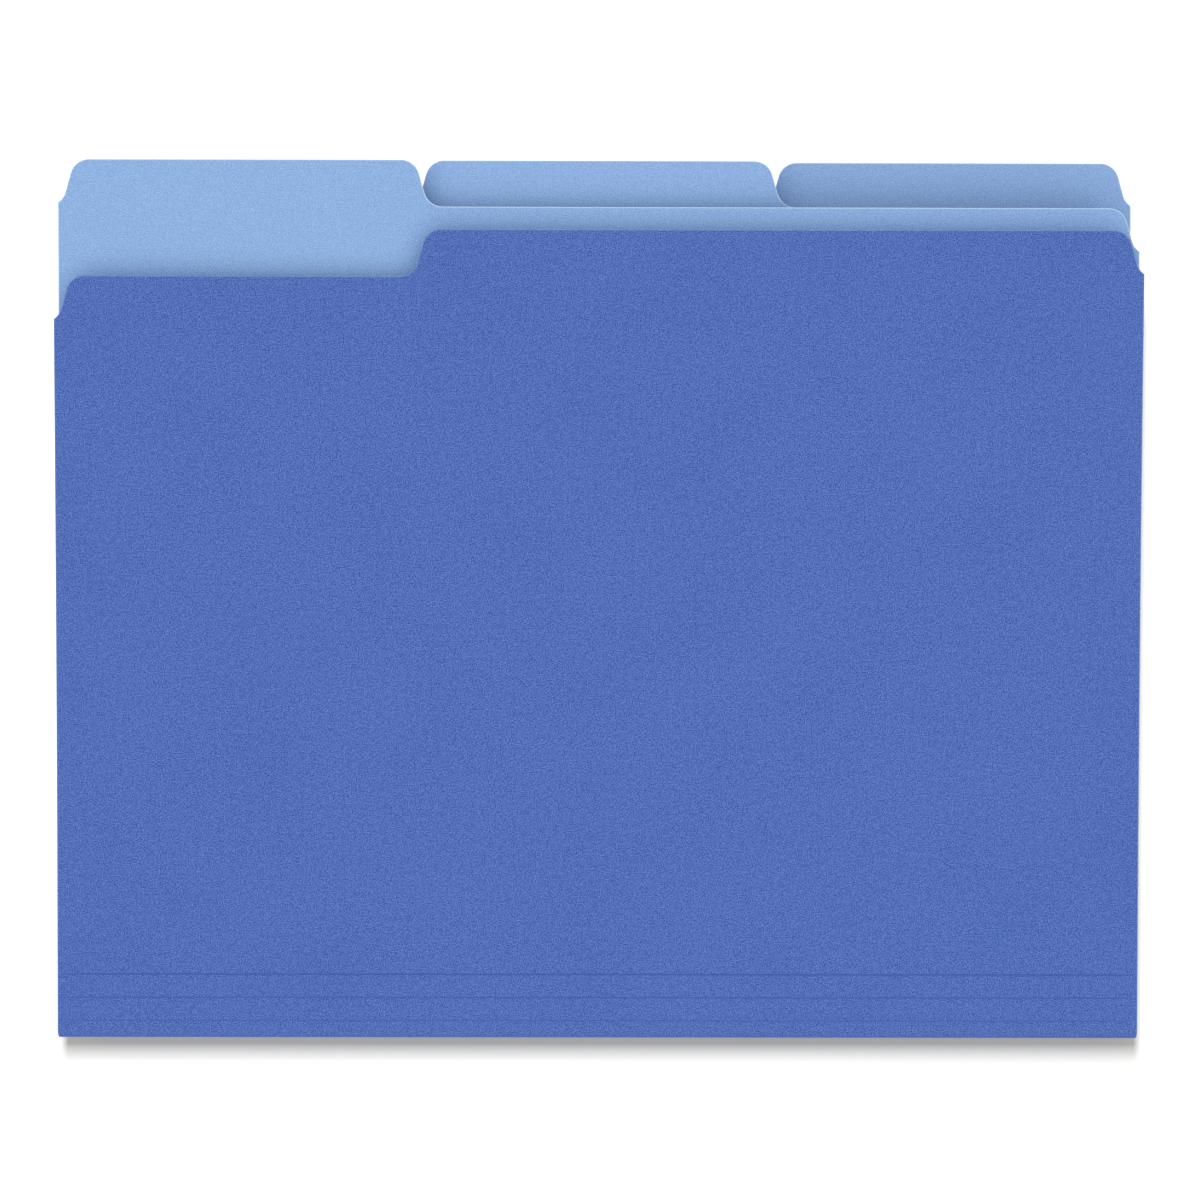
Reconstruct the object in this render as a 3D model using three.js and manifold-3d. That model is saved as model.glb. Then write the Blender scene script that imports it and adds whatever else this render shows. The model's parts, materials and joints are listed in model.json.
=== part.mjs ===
// A stack of three closed file folders, with their tabs at the left, the centre and the right.
//
// Each folder is one die-cut sheet of card. Its back leaf carries the tab, the sheet turns over at
// the main score, and three more scores beside the fold mark off the strips that square up the
// bottom when the folder gets thick. The front leaf is cut lower in front of its own folder's tab.
//
// Millimetres, +X to the right, +Y from the fold towards the tabs, +Z up. The origin is under the
// middle of the stack, on the table.

import * as THREE from "three";
import { mergeVertices } from "three/addons/utils/BufferGeometryUtils.js";
import Module from "manifold-3d";

const wasm = await Module();
wasm.setup();

// The sheet
const width = 295.3;
const sheetThickness = 0.28;
const bodyHeight = 228.6;
const frontHeight = 221.8;

// The die-cut edges: every step and corner is an S curve of two equal arcs and a slant
const tabHeight = 12.7;
const undercutDepth = 12.7;
const cornerDrop = 12.7;
const endTabWidth = 99.2;
const edgeRadius = 5.2;
const slantAngle = THREE.MathUtils.degToRad(74.5);
const cornerReach = 8.5;

// The fold and its scores
const foldHeight = 5.2;
const scoreSpacing = 6.35;
const scoreCount = 3;
const creaseGap = 0.3;
const roundSteps = 8;
const arcSteps = 4;

// The stack, from the table up: where each folder lies on the one below, and how far it gapes
const restGap = 0.2;
const stack = [
  { name: "right", tabThird: 2, slideX: 0, slideY: 0, gape: THREE.MathUtils.degToRad(1.31) },
  { name: "centre", tabThird: 1, slideX: -0.95, slideY: -1.1, gape: THREE.MathUtils.degToRad(0.38) },
  { name: "left", tabThird: 0, slideX: 0, slideY: -0.9, gape: THREE.MathUtils.degToRad(0.4) },
];

const outsideCard = new THREE.MeshStandardMaterial({ color: "#5571b7", roughness: 0.8, metalness: 0 });
const insideCard = new THREE.MeshStandardMaterial({ color: "#91b2e0", roughness: 0.8, metalness: 0 });

const halfWidth = width / 2;
const thirdLine = halfWidth - endTabWidth;
const foldRadius = foldHeight / 2;
const neutralRadius = foldRadius - sheetThickness / 2;
const halfGap = creaseGap / 2;
const quarterTurn = Math.PI / 2;

// How far an S curve of this drop reaches along the edge.
function stepSpan(drop) {
  const slantDrop = drop - 2 * edgeRadius * (1 - Math.cos(slantAngle));
  return 2 * edgeRadius * Math.sin(slantAngle) + slantDrop / Math.tan(slantAngle);
}

// An S curve up and to the left, from its foot to its head at xHead. A corner's foot is cut off by
// the side of the sheet at xSide.
function climb(outline, xHead, high, drop, xSide = Infinity) {
  const xFoot = xHead + stepSpan(drop);
  const footReach = Math.min(xSide - xFoot, 0) / edgeRadius;
  const footY = high - drop + edgeRadius;
  const footEnd = -quarterTurn - slantAngle;
  outline.absarc(xFoot, footY, edgeRadius, -Math.acos(footReach), footEnd, true);
  outline.absarc(xHead, high - edgeRadius, edgeRadius, quarterTurn - slantAngle, quarterTurn, false);
}

// The same curve mirrored: down and to the left, from its head at xHead to its foot.
function descend(outline, xHead, high, drop, xSide = -Infinity) {
  const xFoot = xHead - stepSpan(drop);
  const footReach = Math.min(xFoot - xSide, 0) / edgeRadius;
  const footY = high - drop + edgeRadius;
  const footStart = -quarterTurn + slantAngle;
  outline.absarc(xHead, high - edgeRadius, edgeRadius, quarterTurn, quarterTurn + slantAngle, false);
  outline.absarc(xFoot, footY, edgeRadius, footStart, -Math.PI + Math.acos(footReach), true);
}

// The line between two thirds, where the top edge steps from one height to the next.
function stepAt(outline, x, heightOnRight, heightOnLeft) {
  const drop = Math.abs(heightOnLeft - heightOnRight);
  if (drop === 0) return;
  const high = Math.max(heightOnLeft, heightOnRight);
  const halfSpan = stepSpan(drop) / 2;
  if (heightOnLeft > heightOnRight) climb(outline, x - halfSpan, high, drop);
  else descend(outline, x + halfSpan, high, drop);
}

// A flat leaf from yStart to the heights of its left, centre and right thirds.
function leafOutline(yStart, thirds) {
  const [left, centre, right] = thirds;
  const cornerHead = halfWidth - cornerReach;
  const outline = new THREE.Shape();
  outline.moveTo(-halfWidth, yStart);
  outline.lineTo(halfWidth, yStart);
  climb(outline, cornerHead, right, cornerDrop, halfWidth);
  stepAt(outline, thirdLine, right, centre);
  stepAt(outline, -thirdLine, centre, left);
  descend(outline, -cornerHead, left, cornerDrop, -halfWidth);
  outline.closePath();
  return outline;
}

// Heights of the three thirds: one height everywhere, and another in the tab's third.
function thirdsWith(height, tabThird, tabThirdHeight) {
  return [0, 1, 2].map((third) => (third === tabThird ? tabThirdHeight : height));
}

// Card of one thickness on an outline in XY, from its lower face at z.
function card(outline, z) {
  const settings = { depth: sheetThickness, bevelEnabled: false, curveSegments: arcSteps };
  return new THREE.ExtrudeGeometry(outline, settings).translate(0, 0, z);
}

// Card bent round the fold, from one angle to another about the middle of the fold. Angles count
// in the YZ plane from +Y, so the lowest line is at -90 degrees and the tip of the fold at -180.
function bentCard(fromAngle, toAngle) {
  const section = new THREE.Shape();
  section.absarc(0, foldRadius, foldRadius, fromAngle, toAngle, true);
  section.absarc(0, foldRadius, foldRadius - sheetThickness, toAngle, fromAngle, false);
  section.closePath();
  const settings = { depth: width, bevelEnabled: false, curveSegments: roundSteps };
  const bend = new THREE.ExtrudeGeometry(section, settings).translate(0, 0, -halfWidth);
  const alongX = new THREE.Matrix4().makeBasis(
    new THREE.Vector3(0, 1, 0),
    new THREE.Vector3(0, 0, 1),
    new THREE.Vector3(1, 0, 0),
  );
  return bend.applyMatrix4(alongX);
}

// A closed mesh as a solid that can be joined to others.
function solidFrom(geometry) {
  const bare = geometry.clone();
  bare.deleteAttribute("normal");
  bare.deleteAttribute("uv");
  const merged = mergeVertices(bare);
  const vertProperties = merged.getAttribute("position").array;
  const triVerts = merged.getIndex().array;
  return new wasm.Manifold(new wasm.Mesh({ numProp: 3, vertProperties, triVerts }));
}

function join(first, second) {
  const { vertProperties, triVerts } = solidFrom(first).add(solidFrom(second)).getMesh();
  const joined = new THREE.BufferGeometry();
  joined.setAttribute("position", new THREE.BufferAttribute(vertProperties, 3));
  joined.setIndex(new THREE.BufferAttribute(triVerts, 1));
  joined.computeVertexNormals();
  return joined;
}

function piece(name, geometry, material) {
  const mesh = new THREE.Mesh(geometry, material);
  mesh.name = name;
  return mesh;
}

// The back leaf with its tab, and the lower half of the fold up to the tip.
function backLeaf(tabThird) {
  const bendLength = neutralRadius * quarterTurn;
  const shoulder = bodyHeight - bendLength;
  const thirds = thirdsWith(shoulder, tabThird, shoulder + tabHeight);
  const tipAngle = -Math.PI + halfGap / foldRadius;
  return join(card(leafOutline(0, thirds), 0), bentCard(-quarterTurn, tipAngle));
}

// One strip between two scores, with its outer face at z = 0.
function gussetStrip(yStart, yEnd) {
  const length = yEnd - yStart - creaseGap;
  const strip = new THREE.BoxGeometry(width, length, sheetThickness);
  return strip.translate(0, (yStart + yEnd) / 2, -sheetThickness / 2);
}

// A closed folder in its own frame: the outer face of its back leaf is z = 0, and y = 0 is where
// the back leaf runs into the fold. It returns the group and the frame of its front leaf, whose
// z = 0 is the leaf's outer face and whose y = 0 is where the fold ends.
function closedFolder({ name, tabThird, gape }) {
  const folder = new THREE.Group();
  folder.add(piece(`${name}_back_leaf`, backLeaf(tabThird), insideCard));

  const tipAngle = -Math.PI - halfGap / foldRadius;
  const upperEnd = -Math.PI - quarterTurn + gape;
  const upperFold = bentCard(tipAngle, upperEnd + halfGap / foldRadius);
  folder.add(piece(`${name}_fold`, upperFold, outsideCard));

  const frontFrame = new THREE.Group();
  frontFrame.position.set(0, -foldRadius * Math.sin(gape), foldRadius * (1 + Math.cos(gape)));
  frontFrame.rotation.x = gape;
  folder.add(frontFrame);

  const bendLength = neutralRadius * (quarterTurn - gape);
  for (let score = 1; score <= scoreCount; score += 1) {
    const yStart = Math.max((score - 1) * scoreSpacing - bendLength, 0);
    const yEnd = score * scoreSpacing - bendLength;
    const strip = gussetStrip(yStart, yEnd);
    frontFrame.add(piece(`${name}_gusset_strip_${score}`, strip, outsideCard));
  }

  const yFront = scoreCount * scoreSpacing - bendLength + halfGap;
  const top = frontHeight - bendLength;
  const thirds = thirdsWith(top, tabThird, top - undercutDepth);
  const frontLeaf = card(leafOutline(yFront, thirds), -sheetThickness);
  frontFrame.add(piece(`${name}_front_leaf`, frontLeaf, outsideCard));
  return { folder, frontFrame };
}

// Each folder lies on the front leaf of the one below.
const fileFolders = new THREE.Group();
let restsOn = fileFolders;
for (const place of stack) {
  const { folder, frontFrame } = closedFolder(place);
  const gapBelow = restsOn === fileFolders ? 0 : restGap;
  folder.position.set(place.slideX, place.slideY, gapBelow);
  restsOn.add(folder);
  restsOn = frontFrame;
}

// Centre the stack over the origin, standing on z = 0.
const bounds = new THREE.Box3().setFromObject(fileFolders);
const middle = bounds.getCenter(new THREE.Vector3());
fileFolders.position.set(-middle.x, -middle.y, -bounds.min.z);

export default fileFolders;
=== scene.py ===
# %% [markdown]
# # Three file folders in a stack
#
# Each folder is one sheet of card, blue outside and pale blue inside. The sheet turns over at its
# main score, and three more scores beside the fold let the bottom square up when the folder gets
# thick. The folders lie closed on a table, one on the other, with their tabs at the left, the centre
# and the right.
#
# The measured model gives every leaf's place and every crease's axis. This script covers it with
# thin sheets of card that bend the way the real ones do. It works in metres, with +Z up.

# %% Load the measured model
import json
import math

import bpy
import numpy as np
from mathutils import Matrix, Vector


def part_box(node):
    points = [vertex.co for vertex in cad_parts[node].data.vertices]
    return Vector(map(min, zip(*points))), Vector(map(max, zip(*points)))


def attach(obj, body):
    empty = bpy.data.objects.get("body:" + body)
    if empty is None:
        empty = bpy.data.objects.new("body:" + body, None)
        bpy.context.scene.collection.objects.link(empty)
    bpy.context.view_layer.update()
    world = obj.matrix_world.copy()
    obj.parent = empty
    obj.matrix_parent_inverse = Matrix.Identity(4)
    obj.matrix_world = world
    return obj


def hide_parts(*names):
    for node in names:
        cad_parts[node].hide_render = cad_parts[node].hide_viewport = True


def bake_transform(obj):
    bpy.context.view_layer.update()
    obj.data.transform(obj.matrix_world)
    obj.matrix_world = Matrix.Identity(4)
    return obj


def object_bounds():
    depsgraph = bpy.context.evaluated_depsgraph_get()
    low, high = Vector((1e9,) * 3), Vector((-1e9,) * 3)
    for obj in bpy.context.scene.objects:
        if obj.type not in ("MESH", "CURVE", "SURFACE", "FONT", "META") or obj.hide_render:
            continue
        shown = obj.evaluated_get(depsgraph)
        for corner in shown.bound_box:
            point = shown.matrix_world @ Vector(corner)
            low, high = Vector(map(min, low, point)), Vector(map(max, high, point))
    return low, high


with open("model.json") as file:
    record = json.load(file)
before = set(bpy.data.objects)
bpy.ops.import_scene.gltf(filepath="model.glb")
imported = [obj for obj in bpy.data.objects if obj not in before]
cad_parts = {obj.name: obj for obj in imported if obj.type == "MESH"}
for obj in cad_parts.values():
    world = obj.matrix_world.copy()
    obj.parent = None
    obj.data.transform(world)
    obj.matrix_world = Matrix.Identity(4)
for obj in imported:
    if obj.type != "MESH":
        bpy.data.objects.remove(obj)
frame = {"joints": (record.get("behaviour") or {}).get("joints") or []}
model_box = [list(corner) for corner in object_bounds()]
joints = {joint["name"]: joint for joint in frame["joints"]}

# %% [markdown]
# ## The stock
#
# A file folder is cut from dyed card, a little over a quarter of a millimetre thick. A sheet this thin
# could be a plain plane, but a plane has no edge, and the pale cut edges, lit by a painted highlight, are
# what tells one leaf of the stack from the next. So every sheet here is solid and has its real thickness.
# The width comes from the model, and only what the model can't tell is written down.

# %% Stock and width
MM = 0.001
STOCK = 0.28 * MM
FOLDERS = ["right", "centre", "left"]

lowest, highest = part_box("left_front_leaf")
HALF_WIDTH = (highest.x - lowest.x) / 2
print(f"card {STOCK / MM:.2f} mm thick and {2 * HALF_WIDTH / MM:.1f} mm wide")

# %% [markdown]
# ## Where each folder lies
#
# A closed folder springs open a little, so its leaves aren't level: each one rises towards the tabs
# and lifts whatever lies on it. The slopes could be typed in, but then they would go wrong whenever
# the model changes. The model knows three crease axes for each folder, at the tip of the fold, at the
# end of the fold and at the third score. From them come the middle of the fold and the directions in
# which the back leaf and the front leaf run.

# %% Find each folder's fold and the directions of its leaves
FOLD_RADIUS = 2.6 * MM


def turned(direction, angle):
    """A direction in the YZ plane, turned about +X by an angle."""
    _, y, z = direction
    cosine, sine = math.cos(angle), math.sin(angle)
    return np.array([0, y * cosine - z * sine, y * sine + z * cosine])


def lay_of(name):
    """How a folder lies. The front leaf runs along the line between its two creases, turned by the
    small angle that one stock thickness makes over that length, and the back leaf runs away from
    the tip through the middle of the fold."""
    tip, fold_end, third_score = (
        np.array(joints[f"{name}_{crease}"]["pos_m"]) for crease in ("open", "gusset", "score")
    )
    chord = third_score - fold_end
    strip_length = math.sqrt(chord @ chord - STOCK**2)
    front_rise = math.atan2(chord[2], chord[1]) + math.atan2(STOCK, strip_length)
    front = turned([0, 1, 0], front_rise)
    middle = fold_end - FOLD_RADIUS * turned(front, math.pi / 2)
    back = (middle - tip) / FOLD_RADIUS
    low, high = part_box(f"{name}_back_leaf")
    return {
        "x": (low.x + high.x) / 2,
        "middle": middle,
        "back": back,
        "front": front,
        "gape": front_rise - math.atan2(back[2], back[1]),
    }


LAY = {name: lay_of(name) for name in FOLDERS}
for name, lay in LAY.items():
    print(f"{name}: fold {lay['middle'][2] / MM:.1f} mm up, gapes {math.degrees(lay['gape']):.2f} degrees")

# %% [markdown]
# ## How high the leaves are
#
# The back leaf stands higher than the front leaf, and its tab higher still, so that a tab is seen in
# a full drawer. Heights could be measured on the closed folder, but card keeps its length when it
# bends, so here a place on the sheet is its distance `s` from the main score along the middle of the
# card, round the fold and then straight on, as a die maker draws it on the flat sheet. It is minus
# on the back leaf and plus on the front leaf.

# %% Measure the leaves along the sheet
NEUTRAL_RADIUS = FOLD_RADIUS - STOCK / 2
STEP_DROP = 12.7 * MM
BACK_FOLD_END = NEUTRAL_RADIUS * math.pi / 2
FRONT_FOLD_END = {name: NEUTRAL_RADIUS * (math.pi / 2 - lay["gape"]) for name, lay in LAY.items()}


def leaf_height(name, leaf):
    """The length of the leaf's bend, and then its straight run up to its highest edge."""
    direction = LAY[name][leaf]
    outward = FOLD_RADIUS * turned(direction, math.pi / 2)
    if leaf == "front":
        start, bend = LAY[name]["middle"] + outward, FRONT_FOLD_END[name]
    else:
        start, bend = LAY[name]["middle"] - outward, BACK_FOLD_END
    _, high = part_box(f"{name}_{leaf}_leaf")
    return bend + (high.y - start[1]) / direction[1]


TAB_TOP = leaf_height("right", "back")
BODY_HEIGHT = TAB_TOP - STEP_DROP
FRONT_HEIGHT = leaf_height("left", "front")
print(f"body {BODY_HEIGHT / MM:.1f} mm, tab {TAB_TOP / MM:.1f} mm, front {FRONT_HEIGHT / MM:.1f} mm")

# %% [markdown]
# ## Card that is never quite flat
#
# Real card hangs and curls. The top leaf sinks about a millimetre between its fold and its edge, the
# bottom leaf curls up at its tab, and the raised leaves have faint waves. A cloth simulation could
# find such shapes, but it is slow, and somewhere two thin leaves that touch would cut through each
# other. So the waves are a formula of the place above the table, and two leaves that lie on each
# other share one wave.

# %% Waves and curl
WAVE_HEIGHT = 0.16 * MM
WAVE_PHASE = 1.7
LONG_SINES = [
    {"share": 1.0, "across": 21, "along": 0},
    {"share": 0.6, "across": 47, "along": -19},
    {"share": 0.7, "across": 9, "along": 33},
]
BOTTOM_TAB_CURL = 1.5 * MM


def wave(level, x, y):
    """How far a leaf is raised. At the table, a curl with the fourth power of the way from the fold
    to the tabs. Above it, three long sines that fade out towards the fold. Each sine turns by so
    many radians per metre across the sheet and along it, and starts elsewhere on each level."""
    from_fold = np.clip((y - model_box[0][1]) / (model_box[1][1] - model_box[0][1]), 0, 1)
    if level == 0:
        return BOTTOM_TAB_CURL * from_fold**4
    ripple = 0
    for order, sine in enumerate(LONG_SINES, start=1):
        turn = sine["across"] * x + sine["along"] * y + order * WAVE_PHASE * level
        ripple += sine["share"] * np.sin(turn)
    return WAVE_HEIGHT * from_fold**1.5 * ripple


tab_line = np.linspace(-HALF_WIDTH, HALF_WIDTH, 100)
for level in range(len(FOLDERS) + 1):
    print(f"level {level}: up to {wave(level, tab_line, model_box[1][1]).max() / MM:.2f} mm at the tabs")

# %% [markdown]
# ## Bending the sheet
#
# Round the fold the card follows a circle, and past it a leaf runs straight. The bend could be made
# with a Simple Deform modifier, but that bends a whole object about its own middle, and here each
# leaf has its own slope. One formula that takes whole arrays of sheet places, and gives back where
# they lie, does the fold and both leaves at once.

# %% Bend the sheet
TOP_LEAF_SAG = 1.0 * MM


def bent(name, x, s, depth):
    """Where sheet places lie, at a depth below the outer face. The fold is a circle of the fold's
    radius less the depth, turned by s over the neutral radius. Past the fold, the leaf adds its
    direction times the length that is left. The top leaf sags by a parabola."""
    lay = LAY[name]
    back, front = lay["back"], lay["front"]
    x, s, depth = np.broadcast_arrays(x, s, depth)

    turn = np.clip(s, -BACK_FOLD_END, FRONT_FOLD_END[name]) / NEUTRAL_RADIUS
    radius = (FOLD_RADIUS - depth)[..., None]
    back_up = turned(back, math.pi / 2)
    round_part = radius * (np.sin(turn)[..., None] * back_up - np.cos(turn)[..., None] * back)

    past_front = np.maximum(s - FRONT_FOLD_END[name], 0)
    past_back = np.maximum(-s - BACK_FOLD_END, 0)
    points = lay["middle"] + round_part + past_front[..., None] * front + past_back[..., None] * back
    points[..., 0] = lay["x"] + x

    is_front_leaf = (s > 0).mean() > 0.5
    level = FOLDERS.index(name) + int(is_front_leaf)
    points[..., 2] += wave(level, points[..., 0], points[..., 1])
    if name == FOLDERS[-1]:
        share = np.clip(past_front / (FRONT_HEIGHT - FRONT_FOLD_END[name]), 0, 1)
        points[..., 2] -= 4 * TOP_LEAF_SAG * share * (1 - share)
    return points


for name in FOLDERS:
    tip = bent(name, np.zeros(1), np.zeros(1), np.zeros(1))[0]
    off_axis = math.dist(tip[1:], joints[f"{name}_open"]["pos_m"][1:])
    print(f"{name}: main score {off_axis / MM:.3f} mm from its crease axis")

# %% [markdown]
# ## The die's S curve
#
# A steel rule bent to one S shape cuts every step in the top edge: a round shoulder, a slant and a
# hollow foot. The step could be a hand-drawn spline, but two arcs of one radius with a straight line
# between them are what the rule really is, and three numbers say all of it.

# %% Draw a step
CUT_RADIUS = 5.2 * MM
CUT_SLANT = math.radians(74.5)
ARC_STEPS = 14


def s_curve(drop):
    """Points of one S curve, from its head at (0, 0) to its foot: two equal arcs and a slant."""
    turn = np.linspace(0, CUT_SLANT, ARC_STEPS)
    head = np.stack([CUT_RADIUS * np.sin(turn), -CUT_RADIUS * (1 - np.cos(turn))], axis=1)
    slant_drop = drop + 2 * head[-1, 1]
    span = 2 * head[-1, 0] + slant_drop / math.tan(CUT_SLANT)
    foot = np.array([span, -drop]) - head[::-1]
    return np.concatenate([head, foot])


def step_at(x, height_before, height_after):
    """The S curve centred on x, where the edge goes from one height to another."""
    curve = s_curve(abs(height_after - height_before))
    curve[:, 0] -= curve[-1, 0] / 2
    if height_after > height_before:
        curve = curve[::-1] * [-1, 1]
    return curve + [x, max(height_before, height_after)]


print(f"a step of {STEP_DROP / MM:.1f} mm reaches {s_curve(STEP_DROP)[-1, 0] / MM:.1f} mm along the edge")

# %% [markdown]
# ## The top edge
#
# The tab takes up one third of the width. In front of it the front leaf is cut lower by the same
# step, and the sheet's two top corners are the same S curve again, cut short by the side of the
# sheet. A tab could be a plate of its own, joined on with a Boolean, but on the real sheet it is
# part of the leaf. So the height of a leaf is written as a function of `x`, which makes every leaf a
# simple grid: columns across, and rows from the fold to the cut edge.

# %% Draw the top edge of a leaf
END_TAB_WIDTH = 99.2 * MM
THIRD_LINE = HALF_WIDTH - END_TAB_WIDTH
CORNER_REACH = 8.5 * MM


def corner(height, side):
    """The corner's S curve, cut off where the side of the sheet crosses it."""
    curve = s_curve(STEP_DROP)
    reach = np.linspace(0, CORNER_REACH, 2 * ARC_STEPS)
    drop = np.interp(reach, curve[:, 0], curve[:, 1])
    points = np.stack([HALF_WIDTH - CORNER_REACH + reach, height + drop], axis=1)
    return points if side > 0 else points[::-1] * [-1, 1]


def top_edge(thirds):
    """The cut edge from the left side of the sheet to the right, for the heights of its thirds."""
    left, centre, right = thirds
    stretches = [corner(left, -1)]
    if left != centre:
        stretches.append(step_at(-THIRD_LINE, left, centre))
    if centre != right:
        stretches.append(step_at(THIRD_LINE, centre, right))
    stretches.append(corner(right, 1))
    return np.concatenate(stretches)


def thirds_with(height, tab_third, tab_height):
    """One height everywhere, and another in the tab's third, counted from the left."""
    return [tab_height if third == tab_third else height for third in range(3)]


edge = top_edge(thirds_with(BODY_HEIGHT, 1, TAB_TOP))
print(f"an edge with a centre tab has {len(edge)} points and drops to {edge[0, 1] / MM:.1f} mm at the side")

# %% [markdown]
# ## Where the grid is fine
#
# The die rounds a cut edge by about a tenth of a millimetre, and that is where light catches it. A
# Bevel modifier could round it, but it would have to find the right edges on a sheet this thin.
# Instead the grid's own columns and rows crowd together just inside each cut, at the distances in
# `RIM`, and the outer and the inner face draw in there along a quarter circle.

# %% Columns across the sheet
RIM = np.array([0, 0.03, 0.07, 0.12, 0.36]) * MM
RIM_ROUND = 0.12 * MM
COLUMN_SPACING = 3.6 * MM


def columns_for(edge=None):
    """Distances across the sheet: even, but crowded at the sides and along the edge's S curves."""
    even = np.linspace(-HALF_WIDTH, HALF_WIDTH, round(2 * HALF_WIDTH / COLUMN_SPACING))
    parts = [even[1:-1], RIM - HALF_WIDTH, HALF_WIDTH - RIM]
    if edge is not None:
        parts.append(edge[:, 0])
    columns = np.unique(np.concatenate(parts).round(6))
    apart = np.diff(columns, prepend=-1) > RIM[1] / 2
    apart[-1] = True
    return columns[apart]


def to_side(x):
    """The way from a place to the nearer side of the sheet."""
    return HALF_WIDTH - np.abs(x)


def rounded(to_cut):
    """How far a face draws in near a cut: a quarter circle, nothing past its radius."""
    gap = np.clip(RIM_ROUND - to_cut, 0, RIM_ROUND)
    return RIM_ROUND - np.sqrt(RIM_ROUND**2 - gap**2)


print(len(columns_for()), "columns on a strip,", len(columns_for(edge)), "on a leaf with a centre tab")

# %% [markdown]
# ## The scores
#
# A score is a groove that a blunt rule presses into the card, so that it folds in a straight line there.
# Each folder has three beside its fold, a quarter of an inch apart, and the nearer the fold, the fainter
# they are. They could be painted lines or a bump, but they catch the light like the shallow valleys they
# are, so they are pressed into the outer face, and the inner face bulges less. On top of that the finish
# paints shade into them.

# %% Press the scores
SCORE_SPACING = 6.35 * MM
SCORE_PRESSURES = [0.55, 0.75, 1.0]
SCORE_COUNT = len(SCORE_PRESSURES)
SCORE_MARGIN = 2.0 * MM
SCORE_HALF_WIDTH = 0.2 * MM
SCORE_DEPTH = 0.07 * MM
INNER_SHARE = 0.6


def score_groove(x, s):
    """How deep a score is here, from 0 to 1: a bell curve across it that fades near the sides."""
    fade = np.clip((to_side(x) - SCORE_MARGIN) / SCORE_MARGIN, 0, 1)
    groove = np.zeros(np.broadcast(x, s).shape)
    for score, pressure in enumerate(SCORE_PRESSURES, start=1):
        groove += pressure * np.exp(-(((s - score * SCORE_SPACING) / SCORE_HALF_WIDTH) ** 2))
    return groove * fade


print(f"scores at {[round(score * SCORE_SPACING / MM, 2) for score in range(1, SCORE_COUNT + 1)]} mm")

# %% [markdown]
# ## Making a sheet solid
#
# A sheet has two faces and a cut edge all round. A Solidify modifier could thicken a plane, but it
# wouldn't know the rounded cut or the pressed scores. So the grid is worked out twice, on the outer
# face and one stock thickness deeper, and a band of faces round the border closes it. A closed mesh
# whose faces point outwards has a volume above zero, which tells whether they must be turned round.

# %% Faces of a solid sheet
SHARP_ANGLE = math.radians(55)


def sheet_faces(shape):
    """The outer grid, the same grid below it turned over, and the band round their border."""
    index = np.arange(math.prod(shape)).reshape(shape)
    below = index.size
    outer = np.stack([index[:-1, :-1], index[:-1, 1:], index[1:, 1:], index[1:, :-1]], axis=-1)
    outer = outer.reshape(-1, 4)
    ring = np.concatenate([index[0, :-1], index[:-1, -1], index[-1, :0:-1], index[:0:-1, 0]])
    following = np.roll(ring, -1)
    band = np.stack([ring, ring + below, following + below, following], axis=-1)
    return np.concatenate([outer, outer[:, ::-1] + below, band])


def facing_out(points, faces):
    """The faces, turned over if the volume inside, a sum of triple products, is below zero."""
    a, b, c, d = np.moveaxis(points[faces], 1, 0)
    volume = (np.cross(a, b) * c).sum() + (np.cross(a, c) * d).sum()
    return faces if volume > 0 else faces[:, ::-1]


def solid_mesh(title, points, faces):
    """A smooth mesh whose edges stay sharp where two faces meet at a steep angle."""
    mesh = bpy.data.meshes.new(title)
    mesh.from_pydata(points.tolist(), [], facing_out(points, faces).tolist())
    mesh.polygons.foreach_set("use_smooth", np.ones(len(faces), bool))
    mesh.set_sharp_from_angle(angle=SHARP_ANGLE)
    return mesh


print("a grid of 3 by 4 points closes to", len(sheet_faces((3, 4))), "faces")

# %% [markdown]
# ## Marking the card for its finish
#
# The finish has to know which face it is on, how near a cut, and whether a score was pressed there.
# It could read that from object coordinates, but the sheet is bent and moves. Attributes stay with
# each point. A UV map holds the flat sheet in metres, with the folders and their two faces laid out
# apart, so that the grain has one size everywhere and no two sheets are alike.

# %% Build a marked sheet
SHEET_APART = 0.7


def mark(mesh, label, values):
    """Writes one number per point."""
    attribute = mesh.attributes.new(label, "FLOAT", "POINT")
    attribute.data.foreach_set("value", values.ravel().astype(np.float32))


def lay_flat(mesh, name, x, s):
    """A UV map of the flat sheet, the inner face beyond the outer one."""
    flat = np.stack([x + SHEET_APART * FOLDERS.index(name), s], axis=-1).reshape(-1, 2)
    flat = np.concatenate([flat, flat + [0, SHEET_APART]])
    corners = np.empty(len(mesh.loops), np.int32)
    mesh.loops.foreach_get("vertex_index", corners)
    mesh.uv_layers.new(name="card_place").data.foreach_set("uv", flat[corners].astype(np.float32).ravel())


def solid_sheet(title, name, x, s, to_cut):
    """A closed sheet over the grid x, s of one folder. Its outer face lies at the depth of the cut's
    rounding and the groove, and its inner face one stock thickness deeper, less the rounding."""
    groove = score_groove(x, s)
    trim = rounded(to_cut)
    outer = bent(name, x, s, trim + SCORE_DEPTH * groove)
    inner = bent(name, x, s, STOCK - trim + INNER_SHARE * SCORE_DEPTH * groove)
    points = np.concatenate([outer.reshape(-1, 3), inner.reshape(-1, 3)])
    mesh = solid_mesh(title, points, sheet_faces(x.shape))

    # cut_edge later carries the painted highlight at the cuts, and score_line the painted shade in the
    # scores.
    near_cut = np.clip(1 - to_cut / RIM[-1], 0, 1)
    mark(mesh, "card_side", np.repeat([0.0, 1.0], x.size))
    mark(mesh, "cut_edge", np.stack([near_cut, near_cut]))
    mark(mesh, "score_line", np.stack([groove, np.zeros_like(groove)]))
    lay_flat(mesh, name, x, s)

    piece = bpy.data.objects.new(title, mesh)
    bpy.context.scene.collection.objects.link(piece)
    return piece


print("folders lie", SHEET_APART, "m apart on the flat map")

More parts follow.
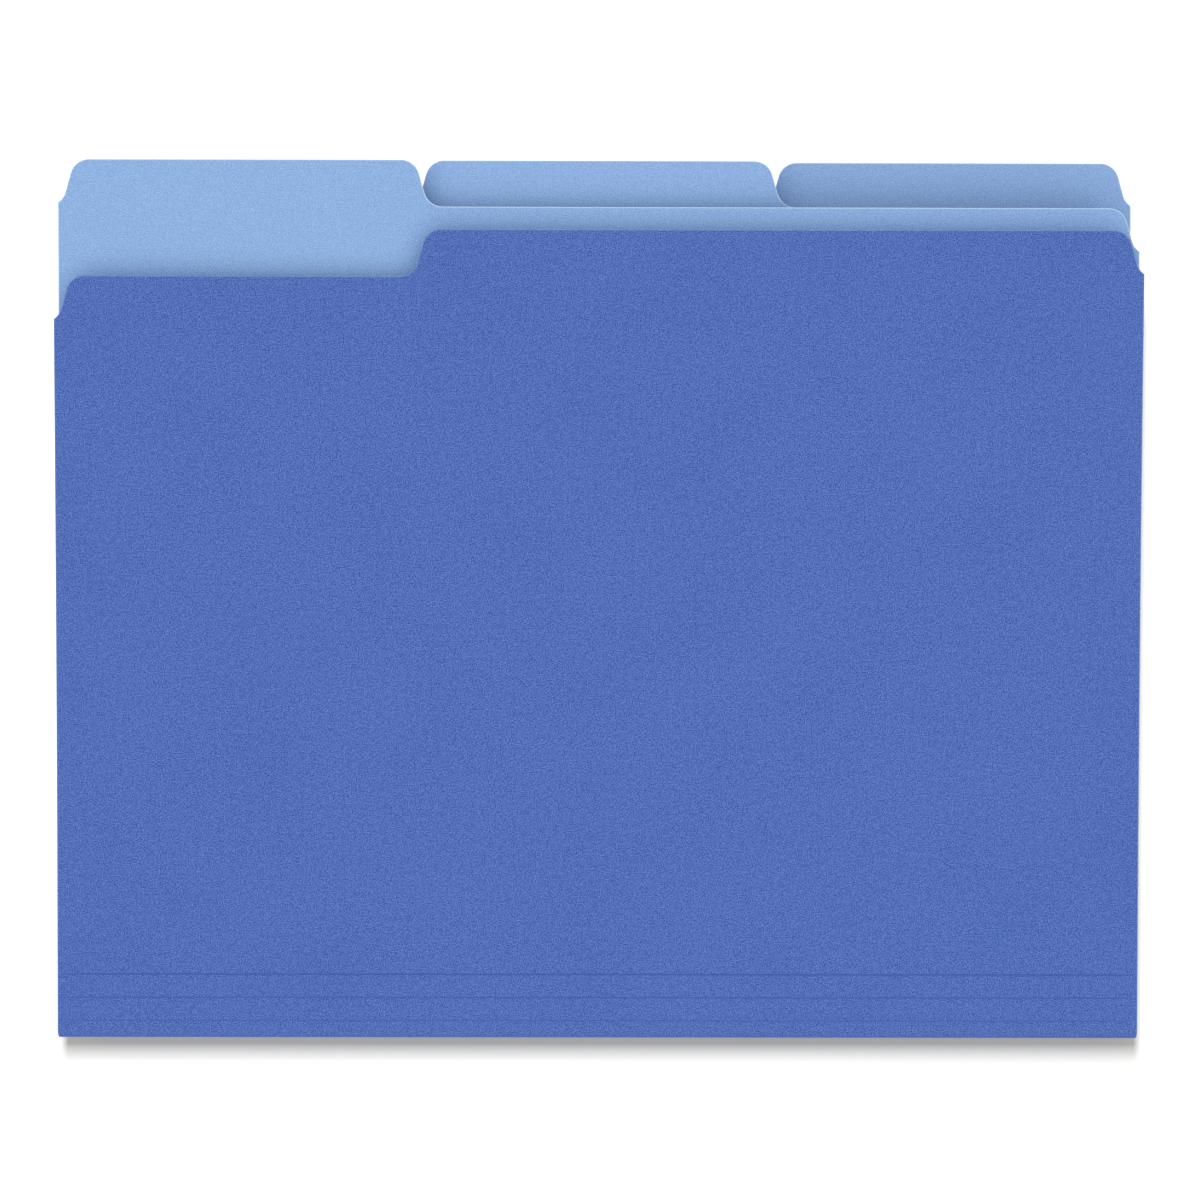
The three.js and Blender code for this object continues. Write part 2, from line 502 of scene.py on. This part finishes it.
# %% [markdown]
# ## Grids for a leaf and for a strip
#
# A leaf runs from a line beside the fold up to its cut edge. Its last rows follow that edge at the
# rim's distances, measured square to the cut, so they stand further apart where the edge is steep.
# The rows could be even all the way, but round the fold that would leave flat facets, so they are
# close there and wide apart on the flat. A strip has two straight ends, and only its sides are cut.

# %% Shape a leaf or a strip
ROW_SPACING = 4.5 * MM
BEND_SPACING = 0.16 * MM


def leaf_sheet(title, name, sign, start, thirds):
    """A leaf from its start to its cut edge, on the back (sign -1) or the front (sign +1). The way
    to the cut is the height left to the edge over the edge's steepness, or the way to the side."""
    edge = top_edge(thirds)
    columns = columns_for(edge)
    top = np.interp(columns, edge[:, 0], edge[:, 1])
    steepness = np.hypot(1, np.gradient(top, columns))
    straight = max(start, BACK_FOLD_END)

    bend = np.arange(start, straight, BEND_SPACING)[:, None] + np.zeros_like(columns)
    share = np.linspace(0, 1, round(top.max() / ROW_SPACING))[:, None]
    body = straight + share * (top - RIM[-1] * steepness - straight)
    rim = top - RIM[-2::-1, None] * steepness
    along = np.concatenate([bend, body, rim])

    x = np.broadcast_to(columns, along.shape)
    to_cut = np.minimum((top - along) / steepness, to_side(x))
    return solid_sheet(title, name, x, sign * along, to_cut)


def strip_sheet(title, name, start, end):
    """A strip from one straight end to the other, with its two sides cut."""
    rows = round((end - start) / BEND_SPACING)
    x, s = np.broadcast_arrays(columns_for(), np.linspace(start, end, rows + 1)[:, None])
    return solid_sheet(title, name, x, s, to_side(x))


print(f"rows every {BEND_SPACING / MM} mm round a bend and every {ROW_SPACING / MM} mm on a leaf")

# %% [markdown]
# ## Writing a finish as a formula
#
# A finish is a tree of nodes, and building it node by node hides what it says. Here a `Wire` is one
# output socket, and adding, subtracting or multiplying wires adds the Math nodes, so that a mask
# reads like arithmetic. Every other node comes from one method of `Finish`.


# %% Shader helpers
class Wire:
    """One output socket of a finish. Arithmetic on it adds Math nodes."""

    def __init__(self, finish, socket):
        self.finish = finish
        self.socket = socket

    def combine(self, operation, first, second):
        return self.finish.node("ShaderNodeMath", {"operation": operation}, {0: first, 1: second})

    def __add__(self, other):
        return self.combine("ADD", self, other)

    def __sub__(self, other):
        return self.combine("SUBTRACT", self, other)

    def __mul__(self, other):
        return self.combine("MULTIPLY", self, other)

    __radd__ = __add__
    __rmul__ = __mul__


class Finish:
    """A node tree under construction, for a material or the world."""

    def __init__(self, owner):
        owner.use_nodes = True
        self.tree = owner.node_tree
        self.tree.nodes.clear()

    def node(self, kind, settings, sockets, output=0):
        """Adds a node: its settings first, then its sockets' values or links."""
        made = self.tree.nodes.new(kind)
        for key, value in settings.items():
            setattr(made, key, value)
        for key, value in sockets.items():
            if isinstance(value, Wire):
                self.tree.links.new(value.socket, made.inputs[key])
            else:
                made.inputs[key].default_value = value
        return Wire(self, made.outputs[output]) if made.outputs else None

    def attribute(self, name):
        return self.node("ShaderNodeAttribute", {"attribute_name": name}, {}, "Fac")

    def noise(self, place, size, detail):
        """Soft noise from 0 to 1, with features about `size` metres wide."""
        sockets = {"Vector": place, "Scale": 1 / size, "Detail": detail, "Roughness": 0.6}
        return self.node("ShaderNodeTexNoise", {}, sockets, "Fac")

    def blend_colours(self, amount, first, second):
        sockets = {"Factor": amount, 6: first, 7: second}
        return self.node("ShaderNodeMix", {"data_type": "RGBA"}, sockets, 2)


# %% [markdown]
# ## The colours of the card
#
# The card is dyed on one side, so each face has its own blue. Under a lens neither is one colour: darker
# and lighter fibres lie side by side, and the outside shows more of that than the inside. So each face gets
# a dark and a light blue to mix between. The scores get a deep blue as painted shade, and the cuts a pale
# blue as a painted highlight. All are given as they look on a screen and turned into the linear values that
# a shader takes.


# %% Card colours
def screen_colour(red, green, blue):
    """A screen colour, 0 to 255, as a linear one: the standard curve, undone."""
    share = np.array([red, green, blue]) / 255
    linear = np.where(share <= 0.04045, share / 12.92, ((share + 0.055) / 1.055) ** 2.4)
    return (*linear.tolist(), 1.0)


OUTSIDE_DARK = screen_colour(16, 66, 151)
OUTSIDE_LIGHT = screen_colour(107, 134, 203)
INSIDE_DARK = screen_colour(121, 156, 211)
INSIDE_LIGHT = screen_colour(159, 194, 235)
# The deep blue of the scores is painted shade in their grooves.
SCORE_SHADE_COLOUR = screen_colour(29, 63, 138)
# The pale blue at the cuts is a painted highlight.
CUT_HIGHLIGHT = screen_colour(206, 234, 255)
print("the pale core as a linear colour:", [round(value, 3) for value in CUT_HIGHLIGHT])

# %% [markdown]
# ## The two-tone finish
#
# This is matt, uncoated card. Its grain is a third of a millimetre wide, longer fibres show as a weaker
# pattern about five times as wide, and over a hand's breadth the colour drifts a little. One noise could
# stand for all three, but each has its own strength. A picture of card would show its seams and its limits
# close up, and a formula doesn't. The scores are painted darker, in a broken line, as painted shade in
# their grooves. At a cut a painted highlight makes the card pale, most of all on the inside.

# %% Mix the card's finish
GRAIN_SIZE = 0.33 * MM
FIBRE_SIZE = 1.6 * MM
CLOUD_SIZE = 30 * MM
GRAIN_CONTRAST = 3.5
FIBRE_CONTRAST = 0.6
CLOUD_CONTRAST = 0.12
# How much painted shade goes into the scores, and how much painted highlight at the cuts on the outside and
# the inside.
SCORE_SHADE_SHARE = 0.9
CUT_HIGHLIGHT_SHARE_OUTSIDE = 0.3
CUT_HIGHLIGHT_SHARE_INSIDE = 1.1
RELIEF_HEIGHT = 0.03 * MM
ROUGHNESS = 0.66
FIBRE_ROUGHNESS = 0.2


def card_finish(title):
    """Speckled blue outside, paler and smoother inside, with painted shade in the scores and a painted
    highlight at the cuts.
    The mottle is the sum of the three noises times their contrasts, moved so that it is centred on
    one half, as each noise is."""
    material = bpy.data.materials.new(title)
    finish = Finish(material)
    place = finish.node("ShaderNodeUVMap", {"uv_map": "card_place"}, {}, "UV")
    grain = finish.noise(place, GRAIN_SIZE, 2.0)
    fibre = finish.noise(place, FIBRE_SIZE, 4.0)
    cloud = finish.noise(place, CLOUD_SIZE, 2.0)
    off_centre = (GRAIN_CONTRAST + FIBRE_CONTRAST + CLOUD_CONTRAST - 1) / 2
    mottle = grain * GRAIN_CONTRAST + fibre * FIBRE_CONTRAST + cloud * CLOUD_CONTRAST - off_centre

    card_side = finish.attribute("card_side")
    outside = finish.blend_colours(mottle, OUTSIDE_DARK, OUTSIDE_LIGHT)
    inside = finish.blend_colours(mottle, INSIDE_DARK, INSIDE_LIGHT)
    card = finish.blend_colours(card_side, outside, inside)
    # Painted shade in the scores, and a painted highlight near the cuts.
    score_shade_amount = finish.attribute("score_line") * mottle * SCORE_SHADE_SHARE
    with_score_shade = finish.blend_colours(score_shade_amount, card, SCORE_SHADE_COLOUR)
    share_on_side = CUT_HIGHLIGHT_SHARE_OUTSIDE + (CUT_HIGHLIGHT_SHARE_INSIDE - CUT_HIGHLIGHT_SHARE_OUTSIDE) * card_side
    cut_highlight_share = finish.attribute("cut_edge") * share_on_side

    relief = {"Strength": 0.35, "Distance": RELIEF_HEIGHT, "Height": grain * 0.6 + fibre * 0.4}
    sockets = {
        "Base Color": finish.blend_colours(cut_highlight_share, with_score_shade, CUT_HIGHLIGHT),
        "Roughness": ROUGHNESS + FIBRE_ROUGHNESS * fibre,
        "Specular IOR Level": 0.25,
        "Normal": finish.node("ShaderNodeBump", {}, relief),
    }
    shader = finish.node("ShaderNodeBsdfPrincipled", {}, sockets)
    finish.node("ShaderNodeOutputMaterial", {}, {"Surface": shader})
    return material


FINISHES = {slot: card_finish(slot) for slot in ("outside_blue_card", "inside_blue_card")}
for slot, material in FINISHES.items():
    print(slot, "has", len(material.node_tree.nodes), "nodes")

# %% [markdown]
# ## Dividing the sheet where it moves
#
# A folder is one sheet, but it moves as four stiff parts: the back leaf, the fold once it is turned over,
# the strips between the scores, and the front leaf. One mesh with a rig could do that, but the card must
# not stretch or thin out where it bends. So the back leaf, the strips and the front leaf ride each on its
# own part of the model, and the fold and the two narrow sheets at the creases ride on none and stay where
# they are made.

# %% Dress a piece and bake its place into its mesh
THIRD_SCORE = SCORE_COUNT * SCORE_SPACING
TIP_REACH = 1.6 * MM
CREASE_REACH = 0.8 * MM

card_pieces = []


def dressed(piece, slot, *nodes):
    """Gives a piece its card, hides the model's solids that it stands for, and adds it to the card pieces.
    """
    piece.data.materials.append(FINISHES[slot])
    if nodes:
        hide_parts(*nodes)
    card_pieces.append(piece)
    return piece


def point_on(name, s):
    """The place in the middle of the card, halfway across the sheet."""
    return bent(name, np.zeros(1), np.full(1, s), np.full(1, STOCK / 2))[0].tolist()


def turning(piece, name, before, after, start, end):
    """Works out two places along the sheet, which nothing uses, and bakes the piece's transform into its
    mesh.
    """
    point_on(name, start)
    point_on(name, end)
    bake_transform(piece)


def say(piece):
    size = ", ".join(f"{length / MM:.1f}" for length in piece.dimensions)
    print(f"{piece.name}: {len(piece.data.polygons)} faces, {size} mm")


print(f"a bend takes {2 * TIP_REACH / MM} mm at the fold's tip and {2 * CREASE_REACH / MM} mm at a crease")

# %% [markdown]
# ## The back leaves and their tabs
#
# The back leaf is the one with the tab, and from above only its pale inside shows. It lies on the
# table or on the folder below. It could end where the fold begins, but the model counts the lower
# half of the fold with the back leaf, because that half keeps still when the folder opens. So this
# sheet starts just under the tip of the fold, comes round the lower quarter circle, and runs out to
# the cut edge with the tab in its own third.

# %% Make the back leaves
TAB_THIRD = {"right": 2, "centre": 1, "left": 0}

for name in FOLDERS:
    thirds = thirds_with(BODY_HEIGHT, TAB_THIRD[name], TAB_TOP)
    back = leaf_sheet(f"{name}_back_sheet", name, -1, TIP_REACH, thirds)
    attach(dressed(back, "inside_blue_card", f"{name}_back_leaf"), f"{name}_back")
    say(back)

# %% [markdown]
# ## The folds
#
# Here the sheet turns over, in a half circle that no one creased hard. When the folder opens, the card
# bends back at its tip. A stiff half tube would tear away from the back leaf there. Here the fold is a
# sheet of its own that rides on no part of the model, so it stays where it is made.

# %% Make the folds
for name in FOLDERS:
    fold = strip_sheet(f"{name}_fold_sheet", name, -TIP_REACH, FRONT_FOLD_END[name] - CREASE_REACH)
    dressed(fold, "outside_blue_card", f"{name}_fold")
    turning(fold, name, "back", "turn", -TIP_REACH, TIP_REACH)
    say(fold)

# %% [markdown]
# ## The creases at the end of the fold
#
# When a folder gets thick, its bottom squares up and the card turns along the line where the fold ends.
# This crease isn't a part that anyone would name, and the fold could simply meet the strips there, but then
# a gap would open at the outside of the turn. A sheet 1.6 mm long lies across the crease, and as it rides
# on no part of the model, it stays where it is made.

# %% Make the creases at the end of the fold
for name in FOLDERS:
    bend = FRONT_FOLD_END[name] - CREASE_REACH, FRONT_FOLD_END[name] + CREASE_REACH
    crease = strip_sheet(f"{name}_fold_end_crease", name, *bend)
    turning(dressed(crease, "outside_blue_card"), name, "turn", "gusset_strips", *bend)
    say(crease)

# %% [markdown]
# ## The gusset strips
#
# Between the fold and the third score lie the strips that form the bottom of a full folder. Three
# separate strips could stand here, as in the model, but they move together, and the card runs
# through the scores between them without a break. So one sheet stands for all three, with the first
# two scores pressed into it.

# %% Make the gusset strips
for name in FOLDERS:
    start, end = FRONT_FOLD_END[name] + CREASE_REACH, THIRD_SCORE - CREASE_REACH
    gusset = strip_sheet(f"{name}_gusset_sheet", name, start, end)
    strips = [f"{name}_gusset_strip_{strip}" for strip in range(1, SCORE_COUNT + 1)]
    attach(dressed(gusset, "outside_blue_card", *strips), f"{name}_gusset_strips")
    say(gusset)

# %% [markdown]
# ## The third scores
#
# At the third score the front leaf turns back against the strips, so that it stays parallel to the back
# leaf while the bottom squares up. Like the crease at the end of the fold, it is a narrow sheet that rides
# on no part of the model, here with the pressed score along its middle.

# %% Make the third scores
for name in FOLDERS:
    bend = THIRD_SCORE - CREASE_REACH, THIRD_SCORE + CREASE_REACH
    score = strip_sheet(f"{name}_third_score", name, *bend)
    turning(dressed(score, "outside_blue_card"), name, "gusset_strips", "front", *bend)
    say(score)

# %% [markdown]
# ## The front leaves
#
# The front leaf covers the papers, and the top folder's is most of what is seen from above. It is
# a little lower than the back leaf, and lower again by one step in front of its own folder's tab.
# It could be a copy of the back leaf, trimmed with a Boolean, but both are the same function with
# other heights, which keeps every cut edge rounded and every row even.

# %% Make the front leaves
for name in FOLDERS:
    thirds = thirds_with(FRONT_HEIGHT, TAB_THIRD[name], FRONT_HEIGHT - STEP_DROP)
    front = leaf_sheet(f"{name}_front_sheet", name, 1, THIRD_SCORE + CREASE_REACH, thirds)
    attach(dressed(front, "outside_blue_card", f"{name}_front_leaf"), f"{name}_front")
    say(front)

# %% [markdown]
# ## The table
#
# The stack lies on a white table that has no edge in the picture, only a soft shadow under the fold.
# More light would turn the table white, but the card with it. So the table's own finish is brighter
# for the camera alone, while other light still meets plain pale paper. A faint warm glow keeps the
# shadow from turning as blue as the card beside it, and further out the glow takes over, where the
# lamp above the stack no longer reaches.

# %% Lay the table
FLOOR_SIZE = 8.0
FLOOR_COLOUR = (0.85, 0.85, 0.85, 1.0)
FLOOR_EXPOSED = (1.03, 1.03, 1.03, 1.0)
GLOW_COLOUR = (1.0, 0.97, 0.79, 1.0)
GLOW = 0.21
GLOW_REACHES = 0.2, 0.5


def seen_directly(finish):
    """1 for what the camera sees straight, in a gloss or through glass, and otherwise 0."""
    kinds = ["Is Camera Ray", "Is Glossy Ray", "Is Transmission Ray"]
    rays = [finish.node("ShaderNodeLightPath", {}, {}, kind) for kind in kinds]
    return finish.node("ShaderNodeMath", {"operation": "MAXIMUM"}, {0: rays[0] + rays[1], 1: rays[2]})


def far_out(finish):
    """0 up to the first reach from the middle of the stack, and 1 from the second reach on."""
    near, far = GLOW_REACHES
    place = finish.node("ShaderNodeTexCoord", {}, {}, "Object")
    distance = finish.node("ShaderNodeVectorMath", {"operation": "LENGTH"}, {0: place}, "Value")
    settings = {"operation": "MULTIPLY", "use_clamp": True}
    return finish.node("ShaderNodeMath", settings, {0: distance - near, 1: 1 / (far - near)})


def floor_finish():
    """Pale paper that shows brighter to the camera, plus a glow that only the camera sees."""
    material = bpy.data.materials.new("pale_floor")
    finish = Finish(material)
    seen = seen_directly(finish)
    colour = finish.blend_colours(seen, FLOOR_COLOUR, FLOOR_EXPOSED)
    paper = finish.node("ShaderNodeBsdfDiffuse", {}, {"Color": colour})
    glow = {"Color": GLOW_COLOUR, "Strength": seen * (GLOW + far_out(finish))}
    light = finish.node("ShaderNodeEmission", {}, glow)
    both = finish.node("ShaderNodeAddShader", {}, {0: paper, 1: light})
    finish.node("ShaderNodeOutputMaterial", {}, {"Surface": both})
    return material


bpy.ops.mesh.primitive_plane_add(size=FLOOR_SIZE, location=(0, 0, 0))
floor = bpy.context.object
floor.name = "floor"
floor.data.materials.append(floor_finish())
print("floor:", FLOOR_SIZE, "m square")

# %% [markdown]
# ## The sky
#
# A studio is never dark between its lamps. An even white sky fills the shadows at about a fifth of
# the full light, and the camera sees it as plain white, so that there is no horizon. A picture of a
# studio could stand here, but card this matt has nothing to reflect.

# %% Fill light
SKY_LEVEL = 0.22

world = bpy.data.worlds.new("even_sky")
bpy.context.scene.world = world
sky_finish = Finish(world)
sky_level = seen_directly(sky_finish) * (1 - SKY_LEVEL) + SKY_LEVEL
sky = sky_finish.node("ShaderNodeBackground", {}, {"Color": (1, 1, 1, 1), "Strength": sky_level})
sky_finish.node("ShaderNodeOutputWorld", {}, {"Surface": sky})
print(f"the sky gives {SKY_LEVEL:.0%} of the light")

# %% [markdown]
# ## The softbox
#
# A wide softbox overhead lights the card, and dims what lies close beside a raised edge. An area
# lamp would be brighter below its middle, and a far lamp with a wide face gives the same light
# everywhere. Its level and the sky's add up to one, so that a colour shows about as it is written.

# %% Hang the softbox
LAMP_LEVEL = 1 - SKY_LEVEL
SOFTBOX_ANGLE = math.radians(100)
SOFTBOX_TILT = math.radians(-8), 0


def hang(lamp, tilt, lit):
    """Hangs a lamp, tilted back from overhead and sideways, that lights only the objects `lit`."""
    back, sideways = tilt
    holder = bpy.data.objects.new(lamp.name, lamp)
    holder.rotation_euler = (-back, sideways, 0)
    bpy.context.scene.collection.objects.link(holder)
    receivers = bpy.data.collections.new(f"lit_by_{lamp.name}")
    for thing in lit:
        receivers.objects.link(thing)
    holder.light_linking.receiver_collection = receivers
    print(f"{lamp.name}: energy {lamp.energy:.2f}, lights {len(lit)} objects")
    return holder


softbox = bpy.data.lights.new("softbox", "SUN")
softbox.energy = LAMP_LEVEL * math.pi / math.cos(SOFTBOX_TILT[0])
softbox.angle = SOFTBOX_ANGLE
hang(softbox, SOFTBOX_TILT, card_pieces)

# %% [markdown]
# ## The strip light
#
# The shadow on the table is soft towards the front, while its two ends are sharper and reach almost
# as far as the card. A far lamp can't give that, because its shadow is no wider than the stack. A
# near strip light does: it is long from front to back and narrow from side to side, and it hangs
# beyond the tabs, a little to the left. It lights the table only, because the softbox already lights
# the card.

# %% Hang the strip light
STRIP_SIZE = 0.14, 0.38
STRIP_DISTANCE = 1.0
STRIP_TILT = math.radians(26.8), math.radians(-3.5)

tilt_back, tilt_sideways = STRIP_TILT
towards_strip = np.array(
    [
        math.sin(tilt_sideways) * math.cos(tilt_back),
        math.sin(tilt_back),
        math.cos(tilt_sideways) * math.cos(tilt_back),
    ]
)
strip = bpy.data.lights.new("strip_light", "AREA")
strip.shape = "RECTANGLE"
strip.size, strip.size_y = STRIP_SIZE
strip.energy = LAMP_LEVEL * (math.pi * STRIP_DISTANCE) ** 2 / towards_strip[2]
shadow_edge = np.array([0, model_box[0][1], 0])
hang(strip, STRIP_TILT, [floor]).location = shadow_edge + STRIP_DISTANCE * towards_strip

bpy.context.scene.view_settings.view_transform = "Standard"

# %% [markdown]
# ## The camera
#
# The camera looks straight down from 70 cm, near the middle of the stack. It could look from far
# away through a long lens, but the higher leaves are visibly wider in the picture than the lower
# ones, which gives its height away. Its small turns level the sides of the folders in the frame.

# %% Set up the camera
CAMERA_PLACE = (-2.91 * MM, -1.42 * MM, 700 * MM)
CAMERA_TURNS = [math.radians(angle) for angle in (0.03, -0.235, 0.103)]
SENSOR_WIDTH = 36.0
FOCAL_LENGTH = 75.03

camera = bpy.data.cameras.new("camera")
camera.sensor_width = SENSOR_WIDTH
camera.lens = FOCAL_LENGTH
viewer = bpy.data.objects.new("camera", camera)
viewer.location = CAMERA_PLACE
viewer.rotation_euler = CAMERA_TURNS
bpy.context.scene.collection.objects.link(viewer)
bpy.context.scene.camera = viewer
print(f"the frame is {SENSOR_WIDTH / FOCAL_LENGTH * CAMERA_PLACE[2] / MM:.0f} mm wide on the table")

# %% [markdown]
# ## The size of the model
#
# The dressed stack has to be as large as the measured model. The model's box is printed here.

# %% Print the model's size
print("model box:", model_box)
